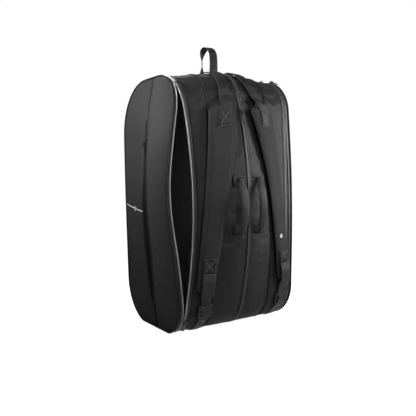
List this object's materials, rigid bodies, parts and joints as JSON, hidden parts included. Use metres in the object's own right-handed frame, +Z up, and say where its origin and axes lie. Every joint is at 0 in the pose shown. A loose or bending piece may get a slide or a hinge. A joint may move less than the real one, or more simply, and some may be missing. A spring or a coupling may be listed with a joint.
{
  "type": "racket tournament bag",
  "caption": "Tall racket bag that stands on end: zipped side compartments with swing-open walls, a central compartment, backpack straps, carry handles and a top grab loop.",
  "frame": {"origin": "on the floor under the middle of the bag, between the two outer walls", "axes": "+Z up along the bag's length, -Y out of the strap face, +X towards the closed side compartment"},
  "size_m": [0.4552, 0.4372, 0.8605],
  "materials": {
    "shell_fabric": "satin near-black polyester",
    "wall_smooth": "smooth near-black laminated polyester",
    "wall_weave": "charcoal coarse weave",
    "pad_fabric": "matte charcoal padded knit",
    "binding": "dark grey edge binding",
    "handle_fabric": "matte near-black",
    "webbing": "satin black webbing",
    "zip_tape": "grey coil zip",
    "piping": "grey piping",
    "lining": "black lining",
    "wall_board": "matte board",
    "buckle_plastic": "black acetal",
    "zip_hardware": "black nickel"
  },
  "bodies": {
    "bag": {"center_front_left_panel": "shell_fabric", "center_front_right_panel": "shell_fabric", "center_gusset": "shell_fabric", "center_zip_tape": "zip_tape", "left_divider": "lining", "right_divider": "lining", "seam_piping": "piping", "left_gusset": "shell_fabric", "left_zip_inner_tape": "zip_tape", "left_lining": "lining", "right_gusset": "shell_fabric", "right_zip_inner_tape": "zip_tape", "right_lining": "lining", "strap_anchor_tabs": "webbing", "left_adjuster_webbing": "webbing", "right_adjuster_webbing": "webbing", "handle_patches": "handle_fabric", "top_loop_tabs": "webbing"},
    "left_lid": {"left_wall_board": "wall_board", "left_wall_front_panel": "wall_smooth", "left_wall_rear_panel": "wall_weave", "left_pocket_zip": "zip_tape", "left_lid_gusset": "shell_fabric", "left_wall_piping": "piping", "left_zip_outer_tape": "zip_tape"},
    "left_strap": {"left_strap_pad": "pad_fabric", "left_strap_binding": "binding", "left_upper_webbing": "webbing", "left_strap_tail": "webbing"},
    "left_lock": {"left_ladder_lock": "buckle_plastic"},
    "left_handle": {"left_carry_handle": "handle_fabric"},
    "right_lid": {"right_wall_board": "wall_board", "right_wall_front_panel": "wall_smooth", "right_wall_rear_panel": "wall_weave", "right_pocket_zip": "zip_tape", "right_lid_gusset": "shell_fabric", "right_wall_piping": "piping", "right_zip_outer_tape": "zip_tape"},
    "right_strap": {"right_strap_pad": "pad_fabric", "right_strap_binding": "binding", "right_upper_webbing": "webbing", "right_strap_tail": "webbing"},
    "right_lock": {"right_ladder_lock": "buckle_plastic"},
    "right_handle": {"right_carry_handle": "handle_fabric"},
    "grab_loop": {"top_loop": "webbing"},
    "center_zip_slider": {"center_zip_slider": "zip_hardware"},
    "center_zip_pull": {"center_zip_pull": "zip_hardware"},
    "left_upper_slider": {"left_upper_slider": "zip_hardware"},
    "left_upper_pull": {"left_upper_pull": "zip_hardware"},
    "left_lower_slider": {"left_lower_slider": "zip_hardware"},
    "left_lower_pull": {"left_lower_pull": "zip_hardware"},
    "right_upper_slider": {"right_upper_slider": "zip_hardware"},
    "right_upper_pull": {"right_upper_pull": "zip_hardware"},
    "right_lower_slider": {"right_lower_slider": "zip_hardware"},
    "right_lower_pull": {"right_lower_pull": "zip_hardware"},
    "left_pocket_slider": {"left_pocket_slider": "zip_hardware"},
    "left_pocket_pull": {"left_pocket_pull": "zip_hardware"},
    "right_pocket_slider": {"right_pocket_slider": "zip_hardware"},
    "right_pocket_pull": {"right_pocket_pull": "zip_hardware"}
  },
  "joints": [
    {"name": "left_lid_hinge", "type": "hinge", "parent": "bag", "child": "left_lid", "pos_m": [-0.186, 0.178, 0.375], "axis": [0, 0, -1], "range_deg": [0, 50]},
    {"name": "right_lid_hinge", "type": "hinge", "parent": "bag", "child": "right_lid", "pos_m": [0.186, 0.178, 0.375], "axis": [0, 0, 1], "range_deg": [0, 50]},
    {"name": "left_strap_swing", "type": "hinge", "parent": "bag", "child": "left_strap", "pos_m": [-0.036, -0.085, 0.77], "axis": [-1, 0, 0], "range_deg": [0, 10]},
    {"name": "left_lock_tilt", "type": "hinge", "parent": "left_strap", "child": "left_lock", "pos_m": [-0.127, -0.18587, 0.09108], "axis": [-1, 0, 0], "range_deg": [0, 30]},
    {"name": "right_strap_swing", "type": "hinge", "parent": "bag", "child": "right_strap", "pos_m": [0.038, -0.085, 0.77], "axis": [-1, 0, 0], "range_deg": [0, 10]},
    {"name": "right_lock_tilt", "type": "hinge", "parent": "right_strap", "child": "right_lock", "pos_m": [0.155, -0.18339, 0.09017], "axis": [-1, 0, 0], "range_deg": [0, 30]},
    {"name": "left_handle_fold", "type": "hinge", "parent": "bag", "child": "left_handle", "pos_m": [-0.029, -0.23117, 0.369], "axis": [0, 0, 1], "range_deg": [-25, 35]},
    {"name": "right_handle_fold", "type": "hinge", "parent": "bag", "child": "right_handle", "pos_m": [0.037, -0.22976, 0.369], "axis": [0, 0, -1], "range_deg": [-25, 35]},
    {"name": "grab_loop_fold", "type": "hinge", "parent": "bag", "child": "grab_loop", "pos_m": [0.004, -0.019, 0.77598], "axis": [0, 1, 0], "range_deg": [-60, 60]},
    {"name": "center_zip_travel", "type": "hinge", "parent": "bag", "child": "center_zip_slider", "pos_m": [0.004, 0.792, 0.384], "axis": [1, 0, 0], "range_deg": [0, 28]},
    {"name": "left_upper_travel", "type": "hinge", "parent": "bag", "child": "left_upper_slider", "pos_m": [-0.182, -0.0744, 0.6506], "axis": [-1, 0, 0], "range_deg": [0, 42]},
    {"name": "left_lower_travel", "type": "hinge", "parent": "bag", "child": "left_lower_slider", "pos_m": [-0.182, -0.0649, 0.11], "axis": [1, 0, 0], "range_deg": [0, 12]},
    {"name": "right_upper_travel", "type": "slide", "parent": "bag", "child": "right_upper_slider", "axis": [0, 1, 0], "range_m": [0, 0.065]},
    {"name": "right_lower_travel", "type": "hinge", "parent": "bag", "child": "right_lower_slider", "pos_m": [0.186, -0.07427, 0.6504], "axis": [1, 0, 0], "range_deg": [0, 54]},
    {"name": "left_pocket_travel", "type": "slide", "parent": "left_lid", "child": "left_pocket_slider", "axis": [0.0493, 0, 0.9988], "range_m": [-0.16, 0.03]},
    {"name": "right_pocket_travel", "type": "slide", "parent": "right_lid", "child": "right_pocket_slider", "axis": [0, 0, 1], "range_m": [-0.16, 0.03]},
    {"name": "center_zip_pull_swing", "type": "hinge", "parent": "center_zip_slider", "child": "center_zip_pull", "pos_m": [0.004, -0.20288, 0.64332], "axis": [-1, 0, 0], "range_deg": [0, 100]},
    {"name": "left_upper_pull_swing", "type": "hinge", "parent": "left_upper_slider", "child": "left_upper_pull", "pos_m": [-0.182, -0.15228, 0.72557], "axis": [-1, 0, 0], "range_deg": [0, 100]},
    {"name": "left_lower_pull_swing", "type": "hinge", "parent": "left_lower_slider", "child": "left_lower_pull", "pos_m": [-0.182, -0.16177, 0.04245], "axis": [-1, 0, 0], "range_deg": [0, 100]},
    {"name": "right_upper_pull_swing", "type": "hinge", "parent": "right_upper_slider", "child": "right_upper_pull", "pos_m": [0.186, -0.06224, 0.75852], "axis": [1, 0, 0], "range_deg": [0, 100]},
    {"name": "right_lower_pull_swing", "type": "hinge", "parent": "right_lower_slider", "child": "right_lower_pull", "pos_m": [0.186, -0.11391, 0.75099], "axis": [-1, 0, 0], "range_deg": [0, 100]},
    {"name": "left_pocket_pull_swing", "type": "hinge", "parent": "left_pocket_slider", "child": "left_pocket_pull", "pos_m": [-0.2219, -0.008, 0.56], "axis": [0, 1, 0], "range_deg": [0, 100]},
    {"name": "right_pocket_pull_swing", "type": "hinge", "parent": "right_pocket_slider", "child": "right_pocket_pull", "pos_m": [0.20858, -0.008, 0.56], "axis": [0, -1, 0], "range_deg": [0, 100]}
  ]
}
